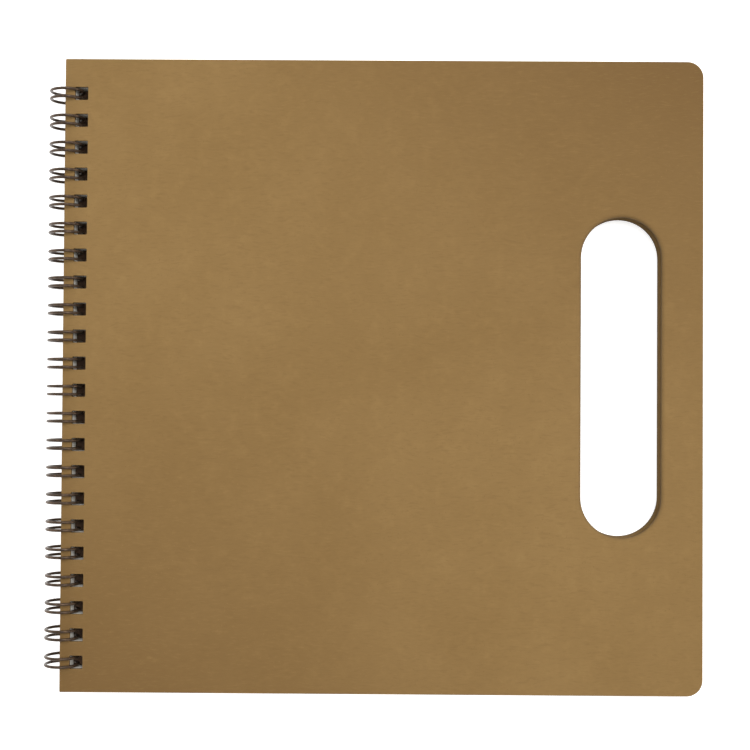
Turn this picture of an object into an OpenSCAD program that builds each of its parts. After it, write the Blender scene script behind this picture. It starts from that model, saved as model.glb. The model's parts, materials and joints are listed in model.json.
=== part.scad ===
/* [Covers] */
// Width of each cover from the spine edge to the fore edge
cover_w = 200; // [120:1:320]
// Height of the book along its spine
cover_h = 198; // [140:1:320]
// Thickness of each kraft board
cover_t = 1.2; // [0.8:0.1:3]
// Radius of the two fore-edge corners
corner_r = 5; // [1:0.5:15]

/* [Hand slot] */
// Width of the slot, from its spine side to its fore side
slot_w = 25; // [15:1:35]
// Length of the slot over its full-round ends
slot_l = 100; // [70:1:115]
// Board left between the slot and the fore edge
slot_from_fore = 13; // [8:0.5:30]

/* [Drawing sheets] */
// Thickness of one drawing sheet
sheet_t = 0.2; // [0.1:0.01:0.3]
// How far the sheets stop short of the hand slot
sheet_setback = 7; // [2:0.5:30]
// Air between neighbouring leaves
leaf_gap = 0.01; // [0.005:0.005:0.03]

/* [Binding] */
// Side of one square binding hole
hole = 4; // [3.3:0.1:5]
// Board left between the binding holes and the spine edge
hole_margin = 3.1; // [2.5:0.1:5]
// Distance from one binding hole to the next, three to the inch
pitch = 8.4667; // [7:0.0001:12.7]
// Diameter of the binding wire
wire_d = 0.9; // [0.6:0.05:1.1]
// How far the row of holes sits off the middle of the spine
row_shift = -0.8; // [-2:0.1:2]

/* [Hidden] */
$fn = 64;
sheet_count = 20;
sheet_w = cover_w - slot_from_fore - slot_w - sheet_setback;
stack_t = 2 * cover_t + sheet_count * sheet_t + (sheet_count + 1) * leaf_gap;
// air between the ring axis and the spine edges, so leaves can turn right over
spine_gap = 0.05;
// air between the wire and the edge of a hole
wire_clear = 0.12;
// air on each side of a pair of wires in its hole
side_clear = 0.3;
// board kept beyond the last hole at either end of the row
row_end_min = 8;
loops = floor((cover_h - 2 * row_end_min) / pitch) + 1;
ring_in = sqrt(pow(stack_t / 2, 2) + pow(hole_margin + spine_gap + wire_clear, 2));
ring_r = ring_in + wire_d / 2;
ring_out = ring_in + wire_d;
pair_y = hole - wire_d - 2 * side_clear;
// where the closed seam of the ring sits, under the back cover
arc_start = -60;
// the wire's section has eight flats, wire_d across
flats = 8;
section_turn = 180 / flats;
section_d = wire_d / cos(section_turn);
bar_d = section_d * 0.97;
peg_d = wire_d * 1.1;
peg_h = wire_d * 1.04;
// from the bars back to the noses, so the two stay clear
tip_back = peg_d + side_clear;
arc_sweep = 360 - tip_back / ring_r * 180 / PI;
bar_l = pitch - pair_y;
end_bar_l = wire_d * 1.2;
// the leaves lean about the ring axis until the fore edge rests beside the rings
leaf_far = cover_w + spine_gap;
lean = asin(ring_out / sqrt(pow(stack_t / 2, 2) + pow(leaf_far, 2)))
    - atan2(stack_t / 2, leaf_far);
fore_x = leaf_far * cos(lean) + stack_t / 2 * sin(lean);
axis_x = (ring_out - fore_x) / 2;
axis_z = ring_out;
kraft = [0.58, 0.46, 0.3];
paper = [0.95, 0.93, 0.88];
bronze = [0.14, 0.1, 0.08];

// height of the middle of a loop along the spine
function loop_y(i) = row_shift + (i - (loops - 1) / 2) * pitch;

// underside of the sheet that is n-th from the top, about the ring axis
function sheet_z(n) = stack_t / 2 - cover_t - n * (leaf_gap + sheet_t);

// puts what is drawn about the ring axis in its place over the table
module place() {
    translate([axis_x, 0, axis_z])
        children();
}

// puts a leaf in its place, leaning with the others
module lie() {
    place()
        rotate([0, lean, 0])
            translate([spine_gap, 0, 0])
                children();
}

module hole_row() {
    for (i = [0 : loops - 1])
        translate([hole_margin, loop_y(i) - hole / 2])
            square([hole, hole]);
}

module cover_outline() {
    translate([0, -cover_h / 2])
        square([cover_w - corner_r, cover_h]);
    translate([cover_w - 2 * corner_r, -cover_h / 2 + corner_r])
        square([2 * corner_r, cover_h - 2 * corner_r]);
    for (side = [-1, 1])
        translate([cover_w - corner_r, side * (cover_h / 2 - corner_r)])
            circle(r = corner_r);
}

module slot_outline() {
    translate([cover_w - slot_from_fore - slot_w / 2, 0]) {
        translate([-slot_w / 2, -(slot_l - slot_w) / 2])
            square([slot_w, slot_l - slot_w]);
        for (side = [-1, 1])
            translate([0, side * (slot_l - slot_w) / 2])
                circle(d = slot_w);
    }
}

// one kraft board with its hand slot and its row of binding holes
module cover() {
    linear_extrude(height = cover_t)
        difference() {
            cover_outline();
            slot_outline();
            hole_row();
        }
}

// one drawing sheet, n-th from the top
module drawing_sheet(n) {
    color(paper)
        lie()
            translate([0, 0, sheet_z(n)])
                linear_extrude(height = sheet_t)
                    difference() {
                        translate([0, -cover_h / 2])
                            square([sheet_w, cover_h]);
                        hole_row();
                    }
}

// one wire bent round the ring axis
module wire_arc(y) {
    translate([0, y, 0])
        rotate([90, 0, 0])
            rotate_extrude(angle = arc_sweep, start = arc_start)
                translate([ring_r, 0])
                    rotate(section_turn)
                        circle(d = section_d, $fn = flats);
}

// puts what is drawn at a point on the ring, Z pointing away from the ring axis
module on_ring(angle, y) {
    rotate([0, -angle, 0])
        translate([ring_r, y, 0])
            rotate([0, 90, 0])
                children();
}

// the knuckle where an arc turns into a length along the spine
module knuckle(angle, y) {
    on_ring(angle, y)
        cylinder(d = peg_d, h = peg_h, center = true);
}

// a straight length along the spine, from y up to y + l
module bar(angle, y, l) {
    on_ring(angle, y)
        rotate([-90, 0, 0])
            rotate(section_turn)
                cylinder(d = bar_d, h = l, $fn = flats);
}

// a pair of wires with the nose that joins them at the far side of the seam
module loop_pair(y) {
    for (side = [-1, 1]) {
        wire_arc(y + side * pair_y / 2);
        knuckle(arc_start, y + side * pair_y / 2);
        knuckle(arc_start + arc_sweep, y + side * pair_y / 2);
    }
    bar(arc_start + arc_sweep, y - pair_y / 2, pair_y);
}

module front_cover() {
    color(kraft)
        lie()
            translate([0, 0, stack_t / 2 - cover_t])
                cover();
}

module back_cover() {
    color(kraft)
        lie()
            translate([0, 0, -stack_t / 2])
                cover();
}

// one continuous wire: pairs of arcs, joined by noses and by cross bars in turn
module wire_binding() {
    color(bronze)
        place()
            union() {
                for (i = [0 : loops - 1])
                    loop_pair(loop_y(i));
                for (i = [0 : loops - 2])
                    bar(arc_start, loop_y(i) + pair_y / 2, bar_l);
                bar(arc_start, loop_y(0) - pair_y / 2 - end_bar_l, end_bar_l);
                bar(arc_start, loop_y(loops - 1) + pair_y / 2, end_bar_l);
            }
}

module sheet_01() {
    drawing_sheet(1);
}

module sheet_02() {
    drawing_sheet(2);
}

module sheet_03() {
    drawing_sheet(3);
}

module sheet_04() {
    drawing_sheet(4);
}

module sheet_05() {
    drawing_sheet(5);
}

module sheet_06() {
    drawing_sheet(6);
}

module sheet_07() {
    drawing_sheet(7);
}

module sheet_08() {
    drawing_sheet(8);
}

module sheet_09() {
    drawing_sheet(9);
}

module sheet_10() {
    drawing_sheet(10);
}

module sheet_11() {
    drawing_sheet(11);
}

module sheet_12() {
    drawing_sheet(12);
}

module sheet_13() {
    drawing_sheet(13);
}

module sheet_14() {
    drawing_sheet(14);
}

module sheet_15() {
    drawing_sheet(15);
}

module sheet_16() {
    drawing_sheet(16);
}

module sheet_17() {
    drawing_sheet(17);
}

module sheet_18() {
    drawing_sheet(18);
}

module sheet_19() {
    drawing_sheet(19);
}

module sheet_20() {
    drawing_sheet(20);
}

front_cover();
sheet_01();
sheet_02();
sheet_03();
sheet_04();
sheet_05();
sheet_06();
sheet_07();
sheet_08();
sheet_09();
sheet_10();
sheet_11();
sheet_12();
sheet_13();
sheet_14();
sheet_15();
sheet_16();
sheet_17();
sheet_18();
sheet_19();
sheet_20();
back_cover();
wire_binding();
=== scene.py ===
"""Looks of a wire-bound sketchbook: two kraft boards with a hand slot, a block of drawing
sheets and one continuous twin-loop wire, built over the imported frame."""

import json
import math

import bpy
import numpy as np
from mathutils import Euler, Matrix
from mathutils.geometry import delaunay_2d_cdt


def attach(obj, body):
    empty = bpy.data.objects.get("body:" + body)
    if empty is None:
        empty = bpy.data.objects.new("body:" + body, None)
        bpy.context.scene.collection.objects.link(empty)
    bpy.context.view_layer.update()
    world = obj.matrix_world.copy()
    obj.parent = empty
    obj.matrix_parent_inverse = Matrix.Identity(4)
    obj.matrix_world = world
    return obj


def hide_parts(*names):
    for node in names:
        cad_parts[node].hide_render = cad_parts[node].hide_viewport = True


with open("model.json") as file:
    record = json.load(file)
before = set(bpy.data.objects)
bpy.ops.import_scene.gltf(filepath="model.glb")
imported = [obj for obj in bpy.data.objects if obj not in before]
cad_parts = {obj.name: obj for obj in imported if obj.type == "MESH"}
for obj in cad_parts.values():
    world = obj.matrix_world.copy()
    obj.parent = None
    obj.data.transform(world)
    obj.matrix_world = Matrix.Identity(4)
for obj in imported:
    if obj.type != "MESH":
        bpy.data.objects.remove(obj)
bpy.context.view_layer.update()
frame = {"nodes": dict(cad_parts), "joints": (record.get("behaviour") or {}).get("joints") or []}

bl_info = {
    "name": "Wire-bound sketchbook",
    "version": (1, 0, 0),
    "blender": (4, 5, 0),
    "location": "View3D > Sidebar > Sketchbook",
    "description": "Kraft boards, drawing sheets and a twin-loop wire over the packed frame",
    "category": "Add Mesh",
}

SHEETS = sorted(name for name in frame["nodes"] if name.startswith("sheet_"))
COVERS = ("front_cover", "back_cover")
RING_AXIS = next(j["pos_m"] for j in frame["joints"] if j["name"] == "wire_roll")
MM = 0.001

LEAST_CORNER = 0.04 * MM   # a corner is never quite sharp
PLAIN_EDGE = 0.1 * MM      # an edge rounded less than this is a plain bevel
WIDE_ROLL = 0.5 * MM       # an edge rolled wider than this gets finer steps
EDGE_POINTS, ROLL_POINTS = 5, 9   # points round an edge, and round a wide rolled one
SHOULDER = 1.3             # first ring on a face, in radii of its edge
ROLL_REACH = 2             # where the face starts beside a rolled edge, in roll widths
EDGE_WEAR_AND_SHADE = 0.85           # nearness where the rounding of an edge ends, 1 on the wall; it sets the wear and the painted shade on edges
SAME_POINT = 1e-7          # points nearer than this, in millimetres, count as one
ARC_GAP = 0.02 * MM        # keeps the slot's end arcs from meeting in one point

BOARD_HOLE_CORNER, SHEET_HOLE_CORNER = 0.25 * MM, 0.2 * MM
BOARD_INSET, SHEET_INSET = 1.1 * MM, 0.6 * MM   # where the flat faces start
BOARD_STEPS, SHEET_STEPS = 16, 3                # steps in each corner's quarter circle
SHEET_CORNER, SHEET_EDGE = 0.3 * MM, 0.03 * MM
SHEET_SEED = 11

WIRE_SIDES = 14                                 # points round the wire
BEND_POINTS, RUN_POINTS, NOSE_POINTS = 7, 58, 15
STUB = 1.2                                      # the wire's ends, in wire diameters

FLOOR_FLAT, FLOOR_BEND, FLOOR_TOP, FLOOR_SIDES = 3.0, 1.0, 1.8, 48
FLOOR_HUB = 0.3                                 # the floor's inner ring, of its flat radius
FLOOR_BEND_POINTS = 9
FLOOR_DROP = 0.02 * MM                          # keeps the floor just under the book
SHADE_SPINE, SHADE_FORE = (-0.0972, -0.0960), (0.058, 0.050)   # X from none to full shade
SHADE_SIDE = (0.0990, 0.0970)                   # Y either way, from none to full shade
KEY_LIGHT = {"at": (0.80, 0.70, 1.90), "size": 1.4, "colour": (1.0, 0.985, 0.96)}
FILL_LIGHT = {"at": (-0.45, 0.16, 0.70), "size": 0.8, "colour": (0.97, 0.985, 1.0)}
SENSOR = 36.0                                   # millimetres
CLIP = (0.01, 20.0)                             # nearest and farthest the camera sees


def length(name, description, default_mm, low_mm=0.0):
    """A size in metres whose default is given in millimetres."""
    return bpy.props.FloatProperty(
        name=name, description=description, default=default_mm * MM, min=low_mm * MM,
        unit="LENGTH", precision=5)


def tint(name, description, default):
    """A linear RGB colour."""
    return bpy.props.FloatVectorProperty(
        name=name, description=description, default=default, size=3,
        subtype="COLOR", min=0.0, max=1.0)


class SketchbookBoards(bpy.types.PropertyGroup):
    """Sizes and colours of the two kraft boards"""

    width: length("Width", "Board from spine edge to fore edge", 200)
    height: length("Height", "Board along the spine", 198)
    thickness: length("Thickness", "Thickness of one board", 1.2)
    corner: length("Corner radius", "Radius of the fore-edge corners", 5)
    spine_corner: length("Spine corner radius", "Softening of the square spine corners", 0.35)
    slot_width: length("Slot width", "Hand slot across", 25)
    slot_length: length("Slot length", "Hand slot over its round ends", 100)
    slot_from_fore: length("Slot to fore edge", "Board between slot and fore edge", 13)
    die_round: length("Die-cut rounding", "Softening of the cut edges", 0.24)
    roll_in: length("Slot roll", "Width of the pressed shoulder round the slot", 1.4)
    roll_down: length("Slot roll depth", "Depth of the pressed shoulder", 0.92)
    base: tint("Kraft", "Main colour of the board", (0.2320, 0.1372, 0.0450))
    light: tint("Pale fibre", "Colour of pale fibres and clouds", (0.2890, 0.1780, 0.0655))
    # The dark fibre colour is also what the painted fall-off of the light darkens the board
    # towards.
    dark: tint("Dark fibre", "Colour of dark fibres and flecks", (0.1640, 0.0905, 0.0280))
    # The cut edge's colour, and also the colour of the painted shade low on the edges.
    core: tint("Board core", "Colour of the cut edge", (0.062, 0.036, 0.0135))


class SketchbookPaper(bpy.types.PropertyGroup):
    """Sizes and colour of the drawing sheets"""

    width: length("Width", "Sheet from spine edge to fore edge", 155)
    thickness: length("Thickness", "Thickness of one sheet", 0.2)
    gap: length("Air", "Air between neighbouring leaves", 0.01)
    trim: length("Trim variation", "How unevenly the sheets are cut", 0.25)
    white: tint("Paper", "Colour of the paper", (0.80, 0.785, 0.745))


class SketchbookWire(bpy.types.PropertyGroup):
    """Sizes and finish of the binding"""

    diameter: length("Wire", "Diameter of the wire", 0.9)
    ring_radius: length("Ring radius", "Ring axis to the middle of the wire", 5.0993)
    pair: length("Pair", "Between the middles of a pair of wires", 2.5)
    pitch: length("Pitch", "From one pair to the next", 8.4667)
    loops: bpy.props.IntProperty(
        name="Loops", description="Pairs of loops along the spine", default=22, min=2)
    row_shift: length("Row shift", "How far the row sits below the middle", -0.8, -5)
    hole: length("Hole", "Side of a binding hole", 4)
    hole_margin: length("Hole margin", "Board between hole and spine edge", 3.1)
    spine_gap: length("Spine gap", "Ring axis to the spine edges", 0.05)
    seam: bpy.props.FloatProperty(
        name="Seam angle", description="Where the cross bars lie round the ring",
        default=math.radians(-60), subtype="ANGLE")
    nose_back: length("Nose clearance", "From the bars back to the roots of the noses", 2.54)
    bend: length("Bend", "Radius of the bends into the cross bars", 0.62)
    coat: tint("Coating", "Colour of the coated wire", (0.0580, 0.0335, 0.0180))
    roughness: bpy.props.FloatProperty(
        name="Roughness", description="Roughness of the coating", default=0.33,
        min=0.0, max=1.0, subtype="FACTOR")


class SketchbookStage(bpy.types.PropertyGroup):
    """Floor, lights and camera"""

    floor: tint("Floor", "Colour of the floor", (0.92, 0.92, 0.915))
    # Painted shadow: the dark colour laid on the floor under the book.
    shade: tint("Hidden floor", "Colour of the floor where the book hides it",
                (0.17, 0.105, 0.07))
    glow: bpy.props.FloatProperty(
        name="Floor glow", description="Light of the floor itself, which thins the shadows",
        default=0.7, min=0.0)
    key_power: bpy.props.FloatProperty(
        name="Key", description="Power of the key light", default=33.0, min=0.0, unit="POWER")
    fill_power: bpy.props.FloatProperty(
        name="Fill", description="Power of the fill light", default=1.8, min=0.0, unit="POWER")
    sky: bpy.props.FloatProperty(
        name="Sky", description="Strength of the even light all round", default=0.33, min=0.0)
    camera_at: bpy.props.FloatVectorProperty(
        name="Camera place", description="Where the camera stands", size=3,
        default=(0.00654, -0.00640, 0.3950), subtype="TRANSLATION", unit="LENGTH", precision=5)
    camera_turn: bpy.props.FloatVectorProperty(
        name="Camera turn", description="How the camera is turned", size=3,
        default=(0.0174, 0.0155, 0.0062), subtype="EULER", precision=5)
    lens: bpy.props.FloatProperty(
        name="Lens", description="Focal length in millimetres on a 36 mm sensor",
        default=59.57, min=1.0)


def rounded_rect(low, high, radii, grow, steps):
    """Outline of a rectangle with round corners, anticlockwise from the +X+Y corner.

    Each corner is a quarter circle: centre + r (cos a, sin a). Growing moves every side out
    by the same amount and adds it to every radius."""
    low, high = np.array(low) - grow, np.array(high) + grow
    r = np.maximum(np.array(radii) + grow, LEAST_CORNER)[:, None]
    sign = np.array([[1, 1], [-1, 1], [-1, -1], [1, -1]])
    centre = np.where(sign > 0, high, low) - sign * r
    a = (np.arange(4)[:, None] + np.linspace(0, 1, steps + 1)) * math.pi / 2
    arc = np.stack([np.cos(a), np.sin(a)], -1) * r[:, :, None]
    return (centre[:, None] + arc).reshape(-1, 2)


def inside(points, low, high, radii, grow):
    """Which points lie in that outline: distance to the box of corner centres under r."""
    low, high = np.array(low) - grow, np.array(high) + grow
    mid, half = (low + high) / 2, (high - low) / 2
    q = points - mid
    corner = np.select([(q[:, 0] > 0) & (q[:, 1] > 0), (q[:, 0] <= 0) & (q[:, 1] > 0),
                        (q[:, 0] <= 0) & (q[:, 1] <= 0)], [0, 1, 2], 3)
    r = np.maximum(np.array(radii)[corner] + grow, LEAST_CORNER)
    d = np.abs(q) - half + r[:, None]
    return np.hypot(*np.maximum(d, 0).T) + np.minimum(d.max(1), 0) < r


def edge_profile(thickness, edge, roll, inset):
    """An edge from the lower face to the upper: how far in from the outline, and how high.

    It starts at (inset, 0), rounds the lower edge by a quarter circle of radius e, climbs the
    wall, rounds the upper edge by a quarter ellipse, (w (1 - sin a), t - d (1 - cos a)) for
    the roll (w, d), and ends at (inset, t)."""
    bend = np.linspace(0, math.pi / 2, EDGE_POINTS if roll[0] < WIDE_ROLL else ROLL_POINTS)
    bend = bend if edge > PLAIN_EDGE else np.array([0, math.pi / 2])
    low_in, low_z = edge * (1 - np.sin(bend)), edge * (1 - np.cos(bend))
    high_in, high_z = roll[0] * (1 - np.sin(bend)), thickness - roll[1] * (1 - np.cos(bend))
    into = np.concatenate([[inset, edge * SHOULDER], low_in, high_in[::-1],
                           [roll[0] * SHOULDER, inset]])
    z = np.concatenate([[0, 0], low_z, high_z[::-1], [thickness, thickness]])
    return into, z


def leaf_surface(outline, openings, thickness, edge, inset, steps, rolls=None):
    """A flat leaf with openings: an edge profile carried round every outline, and two faces.

    Each face is a triangulation between the outlines moved in by the inset. An opening's
    place in rolls gives the width and depth of its rolled upper edge. Returns vertices,
    triangles and quads, and for each vertex how near it is to an edge and its height through
    the leaf from 0 to 1."""
    rings, faces, wear_and_shade, first, caps = [], [], [], 0, []
    rolls = rolls or {}
    insets = [ROLL_REACH * rolls[k][0] if k in rolls else inset for k in range(len(openings))]
    for k, (low, high, radii) in enumerate([outline, *openings]):
        way = -1 if k == 0 else 1
        roll = rolls.get(k - 1, (edge, edge))
        reach = insets[k - 1] if k else inset
        into, z = edge_profile(thickness, edge, roll, reach)
        # How near each ring of the profile is to the edge, which the materials use for wear and
        # for painted shade.
        near = np.interp(into, [0, edge, reach], [1.0, EDGE_WEAR_AND_SHADE, 0.0])
        loop = np.stack([rounded_rect(low, high, radii, way * g, steps) for g in into])
        loop = loop if k == 0 else loop[:, ::-1]
        m, n = loop.shape[:2]
        rings.append(np.concatenate([loop, np.broadcast_to(z[:, None, None], (m, n, 1))], -1)
                     .reshape(-1, 3))
        i, j = np.meshgrid(np.arange(m - 1), np.arange(n), indexing="ij")
        after = (j + 1) % n
        quad = np.stack([i * n + j, i * n + after, (i + 1) * n + after, (i + 1) * n + j], -1)
        faces.append(quad.reshape(-1, 4) + first)
        wear_and_shade.append(np.repeat(near, n))
        caps.append((first + np.arange(n), first + (m - 1) * n + np.arange(n)))
        first += m * n
    points = np.concatenate(rings)
    flat = np.concatenate([c[0] for c in caps])
    upper = np.concatenate([c[1] for c in caps])
    sizes = np.cumsum([0] + [len(c[0]) for c in caps])
    edges = np.concatenate([np.stack([np.arange(a, b), np.roll(np.arange(a, b), -1)], -1)
                            for a, b in zip(sizes, sizes[1:])])
    plan = points[flat, :2] / MM
    whole_hull = 0
    _, _, found, sources, *_ = delaunay_2d_cdt(plan.tolist(), edges.tolist(), [], whole_hull,
                                               SAME_POINT)
    origin = np.array([o[0] if o else -1 for o in sources])
    tris = origin[np.array(found)]
    middle = plan[tris].mean(1) * MM
    keep = inside(middle, *outline, -inset)
    for opening, reach in zip(openings, insets):
        keep &= ~inside(middle, *opening, reach)
    tris = tris[keep & (tris >= 0).all(1)]
    a, b, c = (plan[tris[:, n]] for n in range(3))
    turned = np.cross(b - a, c - a) < 0
    tris[turned] = tris[turned][:, ::-1]
    return (points, np.concatenate([flat[tris][:, ::-1], upper[tris]]),
            np.concatenate(faces), np.concatenate(wear_and_shade), points[:, 2] / thickness)


def to_place(points, lift, lean):
    """Leaf coordinates to the row frame: lift to its height in the block, lean by the angle
    about the ring axis (x cos a + z sin a, z cos a - x sin a) and move to that axis."""
    x, y, z = points[:, 0], points[:, 1], points[:, 2] + lift
    return np.stack([RING_AXIS[0] + x * math.cos(lean) + z * math.sin(lean), y,
                     RING_AXIS[2] - x * math.sin(lean) + z * math.cos(lean)], -1)


def new_piece(name, points, tris, quads, material):
    """A mesh object at the origin from arrays, smooth but for its flat triangles."""
    mesh = bpy.data.meshes.new(name)
    loops = np.concatenate([tris.ravel(), quads.ravel()]).astype(np.int32)
    mesh.vertices.add(len(points))
    mesh.vertices.foreach_set("co", points.astype(np.float32).ravel())
    mesh.loops.add(len(loops))
    mesh.loops.foreach_set("vertex_index", loops)
    starts = np.concatenate([np.arange(len(tris)) * 3,
                             tris.size + np.arange(len(quads)) * 4])
    mesh.polygons.add(len(starts))
    mesh.polygons.foreach_set("loop_start", starts.astype(np.int32))
    mesh.update(calc_edges=True)
    smooth = np.ones(len(starts), bool)
    smooth[:len(tris)] = False
    mesh.polygons.foreach_set("use_smooth", smooth)
    mesh.materials.append(material)
    mesh.validate()
    piece = bpy.data.objects.new(name, mesh)
    bpy.context.scene.collection.objects.link(piece)
    return piece


def keep_values(piece, **values):
    """Per-vertex numbers that a material reads by name."""
    for name, value in values.items():
        layer = piece.data.attributes.new(name, "FLOAT", "POINT")
        layer.data.foreach_set("value", np.asarray(value, np.float32))


def block_height(boards, paper):
    """Thickness of the closed block: two boards, the sheets and the air between leaves."""
    return (2 * boards.thickness + len(SHEETS) * paper.thickness
            + (len(SHEETS) + 1) * paper.gap)


def lean_angle(boards, paper, wire):
    """The lean at which the back board's fore edge is level with the rings' underside."""
    far, half = boards.width + wire.spine_gap, block_height(boards, paper) / 2
    outer = wire.ring_radius + wire.diameter / 2
    return math.asin(outer / math.hypot(half, far)) - math.atan2(half, far)


def loop_rows(wire):
    """Heights of the middles of the loops along the spine."""
    return wire.row_shift + (np.arange(wire.loops) - (wire.loops - 1) / 2) * wire.pitch


def binding_holes(wire, corner):
    """The row of square holes as outlines with softened corners."""
    x = wire.spine_gap + wire.hole_margin
    return [((x, y - wire.hole / 2), (x + wire.hole, y + wire.hole / 2), (corner,) * 4)
            for y in loop_rows(wire)]


class Nodes:
    """A material's node tree, with nodes added by kind and wired by socket name."""

    def __init__(self, name):
        self.material = bpy.data.materials.new(name)
        self.material.use_nodes = True
        self.tree = self.material.node_tree
        self.tree.nodes.clear()

    def add(self, kind, settings=None, out=0, **sockets):
        """Adds a node and returns one of its outputs. A socket given an output is linked."""
        node = self.tree.nodes.new(kind)
        for key, value in (settings or {}).items():
            setattr(node, key, value)
        for key, value in sockets.items():
            key = key.replace("_", " ")
            socket = node.inputs[int(key[1:]) if key[1:].isdigit() else key]
            if isinstance(value, bpy.types.NodeSocket):
                self.tree.links.new(value, socket)
            else:
                socket.default_value = value
        return node.outputs[out] if node.outputs else None

    def math(self, operation, *values):
        """A Math node on up to three values."""
        return self.add("ShaderNodeMath", {"operation": operation},
                        **{f"i{n}": v for n, v in enumerate(values)})

    def blend(self, factor, a, b):
        """A colour between a and b."""
        return self.add("ShaderNodeMix", {"data_type": "RGBA"}, 2, i0=factor, i6=a, i7=b)

    def noise(self, vector, scale, detail=3.0, roughness=0.55):
        """Soft noise from 0 to 1."""
        return self.add("ShaderNodeTexNoise", None, 0, Vector=vector, Scale=scale,
                        Detail=detail, Roughness=roughness)

    def stretch(self, vector, scale, turn=0):
        """Coordinates scaled, and turned about Z."""
        return self.add("ShaderNodeMapping", None, 0, Vector=vector, Scale=scale,
                        Rotation=(0, 0, turn))

    def ramp(self, value, low, high):
        """0 under low, 1 over high, smooth between."""
        return self.add("ShaderNodeMapRange", {"interpolation_type": "SMOOTHSTEP"}, 0,
                        Value=value, From_Min=low, From_Max=high)

    def bump(self, relief, strength, distance):
        """The surface's direction, tilted by a relief whose full depth is the distance."""
        return self.add("ShaderNodeBump", None, 0, Strength=strength, Distance=distance,
                        Height=relief)

    def finish(self, **sockets):
        """Ends the tree in one Principled shader."""
        shader = self.add("ShaderNodeBsdfPrincipled", **sockets)
        self.add("ShaderNodeOutputMaterial", Surface=shader)
        return self.material


def rgba(colour):
    """A colour property as the four numbers a socket takes."""
    return (*colour, 1.0)


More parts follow.
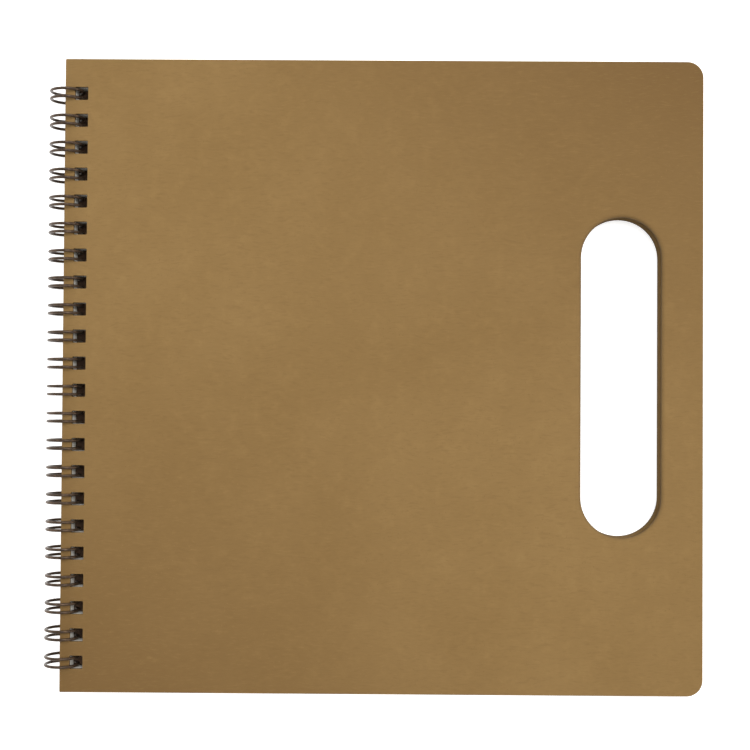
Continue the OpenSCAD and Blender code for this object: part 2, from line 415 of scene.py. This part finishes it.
def kraft_board(boards):
    """Unbleached board: soft clouds, short fibres both ways, pale and dark flecks, rubbed edges,
    fine plies on the cut edge and painted shade low on the edges.

    Scales are waves per metre, and a share says how far a trait takes the colour over. Painted
    shade: the whole board darkens by a fall-off of the light, with x y towards two corners, y y
    towards the top and bottom, and a constant everywhere."""
    cloud_share, felt_share, fibre_share, fleck_share = 0.42, 0.36, 0.24, 0.5
    # the last share is the painted shade low on the edges
    rubbed_share, wall_share, painted_edge_shade_share = 0.35, 0.8, 1.3
    # painted shade: how strongly the painted fall-off of the light darkens two corners, the top
    # and bottom, and the whole board
    falloff_twist, falloff_bow, ground = 62.0, 23.0, 0.08
    waver = (0.004, 0.004, 0.0)
    fleck_rim, fleck_core = 0.16, 0.05
    fibre_bend, felt_bend, ply_count = 2.0, 1.5, 7.0
    rough_least, rough_spread = 0.74, 0.16
    fibre_relief, grain_relief, ply_relief = 0.8, 0.35, 1.2
    n = Nodes("kraft_board")
    at = n.add("ShaderNodeTexCoord", None, "Object")
    near = n.add("ShaderNodeAttribute", {"attribute_name": "near_edge"}, "Fac")
    height = n.add("ShaderNodeAttribute", {"attribute_name": "ply"}, "Fac")
    clouds = n.ramp(n.noise(at, scale=22, detail=4, roughness=0.6), low=0.3, high=0.72)
    felt = n.noise(at, scale=210, detail=5, roughness=0.7)
    bent = n.add("ShaderNodeVectorMath", {"operation": "MULTIPLY_ADD"}, 0,
                 i0=n.add("ShaderNodeTexNoise", None, "Color", Vector=at, Scale=70.0),
                 i1=waver, i2=at)
    along = n.noise(n.stretch(bent, (330, 2300, 900), turn=0.22), scale=1, roughness=0.6)
    across = n.noise(n.stretch(bent, (420, 1900, 900), turn=-0.42), scale=1, roughness=0.6)
    fibres = n.math("MULTIPLY", n.math("ADD", along, across), 0.5)
    grain = n.noise(at, scale=3200, detail=2, roughness=0.6)

    pale = n.math("ADD", n.math("MULTIPLY", clouds, cloud_share),
                  n.math("MULTIPLY", n.ramp(felt, low=0.45, high=0.75), felt_share))
    colour = n.blend(pale, rgba(boards.base), rgba(boards.light))
    place = n.add("ShaderNodeSeparateXYZ", None, 0, Vector=at).node
    x, y = place.outputs["X"], place.outputs["Y"]
    # Painted shade: a fall-off of the light painted over the board, towards the dark fibre
    # colour
    painted_falloff = n.math("ADD", n.math("MULTIPLY", n.math("MULTIPLY", x, y), falloff_twist),
                   n.math("MULTIPLY", n.math("MULTIPLY", y, y), falloff_bow))
    colour = n.blend(n.math("ADD", painted_falloff, ground), colour, rgba(boards.dark))
    colour = n.blend(n.math("MULTIPLY", n.ramp(fibres, low=0.52, high=0.66), fibre_share),
                     colour, rgba(boards.light))
    colour = n.blend(n.math("MULTIPLY", n.ramp(fibres, low=0.49, high=0.36), fibre_share),
                     colour, rgba(boards.dark))

    fleck = n.add("ShaderNodeTexVoronoi", None, "Distance",
                  Vector=n.stretch(at, (900, 520, 700), turn=0.5), Scale=1.0)
    chosen = n.noise(at, scale=60, detail=2)
    dark_fleck = n.math("MULTIPLY", n.ramp(fleck, fleck_rim, fleck_core),
                        n.ramp(chosen, low=0.5, high=0.6))
    pale_fleck = n.math("MULTIPLY", n.ramp(fleck, fleck_rim, fleck_core),
                        n.ramp(chosen, low=0.46, high=0.36))
    colour = n.blend(n.math("MULTIPLY", dark_fleck, fleck_share), colour, rgba(boards.dark))
    colour = n.blend(n.math("MULTIPLY", pale_fleck, fleck_share), colour, rgba(boards.light))

    rubbed = n.math("MULTIPLY", n.ramp(near, low=0.55, high=0.95),
                    n.ramp(felt, low=0.4, high=0.62))
    colour = n.blend(n.math("MULTIPLY", rubbed, rubbed_share), colour, rgba(boards.light))
    layers = n.add("ShaderNodeCombineXYZ", None, 0,
                   X=n.math("MULTIPLY", fibres, fibre_bend),
                   Y=n.math("MULTIPLY", felt, felt_bend),
                   Z=n.math("MULTIPLY", height, ply_count))
    plies = n.noise(layers, scale=1.6)
    on_wall = n.ramp(near, low=0.9, high=1.0)
    wall = n.blend(n.ramp(plies, low=0.35, high=0.65), rgba(boards.core), rgba(boards.base))
    colour = n.blend(n.math("MULTIPLY", on_wall, wall_share), colour, wall)
    # Painted shade: walls, lower faces and the slot's rolled shoulder darken towards the core
    # colour the lower they lie in the board.
    painted_edge_shade = n.math("MULTIPLY", n.math("SUBTRACT", 1.0, height),
                  n.ramp(near, low=0.3, high=0.6))
    colour = n.blend(n.math("MULTIPLY", painted_edge_shade, painted_edge_shade_share), colour, rgba(boards.core))

    rough = n.math("MULTIPLY_ADD", felt, rough_spread, rough_least)
    relief = n.math("ADD", n.math("MULTIPLY", fibres, fibre_relief),
                    n.math("MULTIPLY", grain, grain_relief))
    relief = n.math("ADD", relief,
                    n.math("MULTIPLY", n.math("MULTIPLY", plies, on_wall), ply_relief))
    bump = n.bump(relief, strength=0.5, distance=0.06 * MM)
    return n.finish(Base_Color=colour, Roughness=rough, Normal=bump, Specular_IOR_Level=0.28)


def drawing_paper(paper):
    """White cartridge paper with a light tooth, faint clouds and a faint painted shade on the
    cut edges.

    Scales are waves per metre. The tones are shares of the paper's own white."""
    cloud_tone, fibre_tone, edge_shade_tone = 0.965, (0.86, 0.84, 0.8), (0.9, 0.88, 0.84)
    fibre_share, edge_shade_share, fibre_relief = 0.3, 0.5, 0.5
    rough_least, rough_spread = 0.82, 0.1
    n = Nodes("drawing_paper")
    at = n.add("ShaderNodeTexCoord", None, "Object")
    near = n.add("ShaderNodeAttribute", {"attribute_name": "near_edge"}, "Fac")
    white = np.array(paper.white)
    clouds = n.ramp(n.noise(at, scale=90, detail=4, roughness=0.6), low=0.3, high=0.7)
    tooth = n.noise(at, scale=2600, roughness=0.65)
    fibre = n.noise(n.stretch(at, (500, 2200, 800), turn=0.3), scale=1)
    colour = n.blend(clouds, rgba(white * cloud_tone), rgba(white))
    colour = n.blend(n.math("MULTIPLY", n.ramp(fibre, low=0.42, high=0.3), fibre_share),
                     colour, rgba(white * np.array(fibre_tone)))
    # Painted shade: the cut edges and hole walls of the sheets a little darker.
    colour = n.blend(n.math("MULTIPLY", n.ramp(near, low=0.8, high=1.0), edge_shade_share),
                     colour, rgba(white * np.array(edge_shade_tone)))
    relief = n.math("ADD", tooth, n.math("MULTIPLY", fibre, fibre_relief))
    bump = n.bump(relief, strength=0.35, distance=0.04 * MM)
    rough = n.math("MULTIPLY_ADD", tooth, rough_spread, rough_least)
    return n.finish(Base_Color=colour, Roughness=rough, Normal=bump, Specular_IOR_Level=0.25)


def coated_wire(wire):
    """Dark bronze coated steel: an even satin skin with faint drawing lines along the wire
    and a slightly rubbed outer side.

    The tones are shares of the coating's colour."""
    dark_tone, pale_tone, rubbed_tone = 0.8, 1.25, (1.7, 1.75, 1.85)
    rough_drop, rough_spread = 0.08, 0.2
    skin_relief, line_relief = 0.6, 0.5
    n = Nodes("binding_wire")
    at = n.add("ShaderNodeTexCoord", None, "Object")
    along = n.add("ShaderNodeUVMap", {"uv_map": "UVMap"}, 0)
    rubbed = n.add("ShaderNodeAttribute", {"attribute_name": "outer_side"}, "Fac")
    coat = np.array(wire.coat)
    skin = n.noise(at, scale=900)
    lines = n.noise(n.stretch(along, (2.0, 26.0, 1.0)), scale=1, detail=2)
    colour = n.blend(n.ramp(skin, low=0.35, high=0.7), rgba(coat * dark_tone),
                     rgba(coat * pale_tone))
    worn = n.math("MULTIPLY", n.ramp(rubbed, low=0.6, high=1.0),
                  n.ramp(skin, low=0.48, high=0.66))
    colour = n.blend(worn, colour, rgba(np.minimum(coat * np.array(rubbed_tone), 1)))
    rough = n.math("MULTIPLY_ADD", skin, rough_spread, wire.roughness - rough_drop)
    relief = n.math("ADD", n.math("MULTIPLY", skin, skin_relief),
                    n.math("MULTIPLY", lines, line_relief))
    bump = n.bump(relief, strength=0.25, distance=0.03 * MM)
    return n.finish(Base_Color=colour, Roughness=rough, Normal=bump, Metallic=0.6,
                    Coat_Weight=0.12, Coat_Roughness=0.25)


class SKETCHBOOK_OT_boards(bpy.types.Operator):
    """Make the front and back boards with their hand slot and binding holes"""

    bl_idname = "sketchbook.boards"
    bl_label = "Make kraft boards"

    def execute(self, context):
        boards, paper, wire = (getattr(context.scene, "sketchbook_" + k)
                               for k in ("boards", "paper", "wire"))
        lean, block = lean_angle(boards, paper, wire), block_height(boards, paper)
        left, half = wire.spine_gap, boards.height / 2
        right = left + boards.width
        slot_right = right - boards.slot_from_fore
        slot_r = boards.slot_width / 2 - ARC_GAP
        slot = ((slot_right - boards.slot_width, -boards.slot_length / 2),
                (slot_right, boards.slot_length / 2), (slot_r,) * 4)
        outline = ((left, -half), (right, half),
                   (boards.corner, boards.spine_corner, boards.spine_corner, boards.corner))
        points, tris, quads, near, ply = leaf_surface(
            outline, [slot, *binding_holes(wire, BOARD_HOLE_CORNER)], boards.thickness,
            boards.die_round, BOARD_INSET, BOARD_STEPS, {0: (boards.roll_in, boards.roll_down)})
        material = kraft_board(boards)
        for name, lift in zip(COVERS, (block / 2 - boards.thickness, -block / 2)):
            piece = new_piece(name + "_board", to_place(points, lift, lean), tris, quads,
                              material)
            keep_values(piece, near_edge=near, ply=ply)
            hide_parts(name)
            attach(piece, name)
        return {"FINISHED"}


class SKETCHBOOK_OT_sheets(bpy.types.Operator):
    """Make the drawing sheets, each cut a little differently"""

    bl_idname = "sketchbook.sheets"
    bl_label = "Make drawing sheets"

    def execute(self, context):
        boards, paper, wire = (getattr(context.scene, "sketchbook_" + k)
                               for k in ("boards", "paper", "wire"))
        lean, block = lean_angle(boards, paper, wire), block_height(boards, paper)
        cut = np.random.default_rng(SHEET_SEED).uniform(0, paper.trim, (len(SHEETS), 3))
        material = drawing_paper(paper)
        for k, name in enumerate(SHEETS):
            fore, top, bottom = cut[k] * (1.0, 0.5, 0.5)
            left, half = wire.spine_gap, boards.height / 2
            outline = ((left, bottom - half), (left + paper.width - fore, half - top),
                       (SHEET_CORNER,) * 4)
            points, tris, quads, near, _ = leaf_surface(
                outline, binding_holes(wire, SHEET_HOLE_CORNER), paper.thickness, SHEET_EDGE,
                SHEET_INSET, SHEET_STEPS)
            lift = block / 2 - boards.thickness - (k + 1) * (paper.gap + paper.thickness)
            piece = new_piece(name + "_paper", to_place(points, lift, lean), tris, quads,
                              material)
            keep_values(piece, near_edge=near)
            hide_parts(name)
            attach(piece, name)
        return {"FINISHED"}


class SKETCHBOOK_OT_wire(bpy.types.Operator):
    """Bend the one continuous wire into its pairs of loops"""

    bl_idname = "sketchbook.wire"
    bl_label = "Bend binding wire"

    def execute(self, context):
        wire = context.scene.sketchbook_wire
        path, outward = wire_path(wire)
        points, tris, quads, uv, outer = tube(path, outward, wire.diameter / 2, WIRE_SIDES)
        piece = new_piece("wire_binding_coil", points, tris, quads, coated_wire(wire))
        keep_values(piece, outer_side=outer)
        layer = piece.data.uv_layers.new(name="UVMap")
        layer.data.foreach_set("uv", uv.astype(np.float32).ravel())
        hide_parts("wire_binding")
        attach(piece, "wire_binding")
        return {"FINISHED"}


def wire_path(wire):
    """The wire's middle line, drawn on the ring's unrolled wall and rolled up.

    On the wall, with u round the ring and y along the spine, each loop is a hairpin: a
    quarter-circle bend out of the cross bar, straight round to the nose, a half circle,
    straight back and a bend into the next bar. Rolled up, a point is at
    (R cos(u / R), y, R sin(u / R)) about the ring axis."""
    r, b, p = wire.ring_radius, wire.bend, wire.pair / 2
    start = wire.seam * r
    end = start + 2 * math.pi * r - wire.nose_back
    a = np.linspace(0, math.pi / 2, BEND_POINTS)
    bend_in = np.stack([start + b - b * np.cos(a), -p - b + b * np.sin(a)], -1)
    run = np.linspace(start + b, end, RUN_POINTS)[1:-1]
    out = np.stack([run, np.full_like(run, -p)], -1)
    t = np.linspace(-math.pi / 2, math.pi / 2, NOSE_POINTS)
    nose = np.stack([end + p * np.cos(t), p * np.sin(t)], -1)
    half = np.concatenate([bend_in, out])
    hairpin = np.concatenate([half, nose, (half * (1, -1))[::-1]])
    rows = loop_rows(wire)
    flat = (hairpin[None] + np.stack([0 * rows, rows], -1)[:, None]).reshape(-1, 2)
    stub = STUB * wire.diameter
    flat = np.concatenate([[[start, rows[0] - p - stub]], flat,
                           [[start, rows[-1] + p + stub]]])
    turn = flat[:, 0] / r
    outward = np.stack([np.cos(turn), 0 * turn, np.sin(turn)], -1)
    path = outward * r + np.stack([0 * turn, flat[:, 1], 0 * turn], -1) + RING_AXIS
    return path, outward


def tube(path, outward, radius, sides):
    """A round section carried along a path: point + r (cos a n + sin a b), where n points
    away from the ring axis and b is at right angles to n and the path. Both ends close in a
    fan. Returns vertices, triangles, quads, a UV for each corner and how outward each
    vertex faces."""
    along = np.gradient(path, axis=0)
    along /= np.linalg.norm(along, axis=1)[:, None]
    side = np.cross(outward, along)
    side /= np.linalg.norm(side, axis=1)[:, None]
    normal = np.cross(along, side)
    a = np.arange(sides) / sides * 2 * math.pi
    ring = (np.cos(a)[None, :, None] * normal[:, None]
            + np.sin(a)[None, :, None] * side[:, None])
    points = (path[:, None] + radius * ring).reshape(-1, 3)
    m = len(path)
    i, j = np.meshgrid(np.arange(m - 1), np.arange(sides), indexing="ij")
    after = (j + 1) % sides
    quads = np.stack([i * sides + j, (i + 1) * sides + j, (i + 1) * sides + after,
                      i * sides + after], -1).reshape(-1, 4)
    ends = np.array([path[0], path[-1]])
    points = np.concatenate([points, ends])
    k = np.arange(sides)
    first = np.stack([np.full(sides, m * sides), k, (k + 1) % sides], -1)
    last = np.stack([np.full(sides, m * sides + 1), (m - 1) * sides + (k + 1) % sides,
                     (m - 1) * sides + k], -1)
    step = np.linalg.norm(np.diff(path, axis=0), axis=1)
    far = np.concatenate([[0], np.cumsum(step)]) / MM
    i, j = i.ravel(), j.ravel()
    quad_uv = np.stack([np.stack([far[i], j / sides], -1),
                        np.stack([far[i + 1], j / sides], -1),
                        np.stack([far[i + 1], (j + 1) / sides], -1),
                        np.stack([far[i], (j + 1) / sides], -1)], 1).reshape(-1, 2)
    tris = np.concatenate([first, last])
    tri_uv = np.zeros((tris.size, 2))
    outer = np.concatenate([np.tile(np.cos(a) * 0.5 + 0.5, m), [0.5, 0.5]])
    return points, tris, quads, np.concatenate([tri_uv, quad_uv]), outer


def soft_light(name, power, at, size, colour):
    """A square area light that faces the origin."""
    data = bpy.data.lights.new(name, "AREA")
    data.size, data.energy, data.color = size, power, colour
    lamp = bpy.data.objects.new(name, data)
    lamp.location = at
    away = np.array(at)
    lamp.rotation_euler = (math.acos(away[2] / np.linalg.norm(away)), 0.0,
                           math.atan2(away[1], away[0]) + math.pi / 2)
    bpy.context.scene.collection.objects.link(lamp)


def floor_surface(flat, bend, top, sides):
    """A round floor whose rim sweeps up: a profile turned about the Z axis.

    The profile runs flat to radius r, up a quarter circle of radius b, (r + b sin a,
    b (1 - cos a)), and straight up to the top. Returns vertices, triangles and quads."""
    a = np.linspace(0, math.pi / 2, FLOOR_BEND_POINTS)
    far = np.concatenate([[flat * FLOOR_HUB], flat + bend * np.sin(a), [flat + bend]])
    up = np.concatenate([[0], bend * (1 - np.cos(a)), [top]]) - FLOOR_DROP
    t = np.arange(sides) / sides * 2 * math.pi
    rings = np.stack([far[:, None] * np.cos(t), far[:, None] * np.sin(t),
                      np.broadcast_to(up[:, None], (len(far), sides))], -1)
    points = np.concatenate([rings.reshape(-1, 3), [[0, 0, up[0]]]])
    i, j = np.meshgrid(np.arange(len(far) - 1), np.arange(sides), indexing="ij")
    after = (j + 1) % sides
    quads = np.stack([i * sides + j, (i + 1) * sides + j, (i + 1) * sides + after,
                      i * sides + after], -1).reshape(-1, 4)
    k = np.arange(sides)
    hub = np.stack([np.full(sides, len(points) - 1), k, (k + 1) % sides], -1)
    return points, hub, quads


class SKETCHBOOK_OT_stage(bpy.types.Operator):
    """Lay the pale floor with a painted shadow where the book hides it, hang the lights and
    stand the camera"""

    bl_idname = "sketchbook.stage"
    bl_label = "Set stage"

    def execute(self, context):
        scene, stage = context.scene, context.scene.sketchbook_stage
        n = Nodes("pale_floor")
        at = n.add("ShaderNodeTexCoord", None, "Object")
        tone, cloud_tone = np.array(stage.floor), 0.995
        colour = n.blend(n.noise(at, scale=3, detail=2), rgba(tone * cloud_tone), rgba(tone))
        place = n.add("ShaderNodeSeparateXYZ", None, 0, Vector=at).node
        x, y = place.outputs["X"], n.math("ABSOLUTE", place.outputs["Y"])
        # Painted shadow: under the book the floor loses its glow and takes the dark shade
        # colour, which darkens the floor seen through the binding holes.
        under = n.math("MULTIPLY", n.ramp(x, *SHADE_SPINE), n.ramp(x, *SHADE_FORE))
        under = n.math("MULTIPLY", under, n.ramp(y, *SHADE_SIDE))
        glow = n.math("MULTIPLY_ADD", under, -stage.glow, stage.glow)
        shaded = n.blend(under, colour, rgba(stage.shade))
        material = n.finish(Base_Color=shaded, Roughness=0.85, Specular_IOR_Level=0.2,
                            Emission_Color=rgba(tone), Emission_Strength=glow)
        floor = new_piece("floor", *floor_surface(FLOOR_FLAT, FLOOR_BEND, FLOOR_TOP,
                                                  FLOOR_SIDES), material)
        soft_light("key_light", stage.key_power, **KEY_LIGHT)
        soft_light("fill_light", stage.fill_power, **FILL_LIGHT)
        world = bpy.data.worlds.new("even_light")
        world.use_nodes = True
        background = world.node_tree.nodes["Background"].inputs
        background["Color"].default_value = (1, 1, 1, 1)
        background["Strength"].default_value = stage.sky
        scene.world = world
        scene.view_settings.view_transform = "Standard"
        scene.view_settings.look = "None"
        data = bpy.data.cameras.new("camera")
        data.lens, data.sensor_width = stage.lens, SENSOR
        data.clip_start, data.clip_end = CLIP
        camera = bpy.data.objects.new("camera", data)
        camera.location = stage.camera_at
        camera.rotation_euler = Euler(stage.camera_turn)
        scene.collection.objects.link(camera)
        scene.camera = camera
        return {"FINISHED"}


class SKETCHBOOK_PT_panel(bpy.types.Panel):
    """Sizes, colours and steps of the sketchbook"""

    bl_label = "Sketchbook"
    bl_idname = "SKETCHBOOK_PT_panel"
    bl_space_type = "VIEW_3D"
    bl_region_type = "UI"
    bl_category = "Sketchbook"

    def draw(self, context):
        for kind, step in (("boards", "boards"), ("paper", "sheets"), ("wire", "wire"),
                           ("stage", "stage")):
            group = getattr(context.scene, "sketchbook_" + kind)
            box = self.layout.box()
            box.label(text=kind.capitalize())
            for name in group.__annotations__:
                box.prop(group, name)
            box.operator("sketchbook." + step)


GROUPS = {"boards": SketchbookBoards, "paper": SketchbookPaper, "wire": SketchbookWire,
          "stage": SketchbookStage}
STEPS = (SKETCHBOOK_OT_boards, SKETCHBOOK_OT_sheets, SKETCHBOOK_OT_wire,
         SKETCHBOOK_OT_stage)


def register():
    """Registers the groups, steps and panel, and puts the groups on the scene."""
    for item in (*GROUPS.values(), *STEPS, SKETCHBOOK_PT_panel):
        bpy.utils.register_class(item)
    for name, group in GROUPS.items():
        setattr(bpy.types.Scene, "sketchbook_" + name, bpy.props.PointerProperty(type=group))


def unregister():
    """Takes away what register added."""
    for name in GROUPS:
        delattr(bpy.types.Scene, "sketchbook_" + name)
    for item in (SKETCHBOOK_PT_panel, *STEPS[::-1], *list(GROUPS.values())[::-1]):
        bpy.utils.unregister_class(item)


def main():
    """Builds the sketchbook and its stage."""
    register()
    bpy.ops.sketchbook.boards()
    bpy.ops.sketchbook.sheets()
    bpy.ops.sketchbook.wire()
    bpy.ops.sketchbook.stage()


if __name__ == "__main__":
    main()
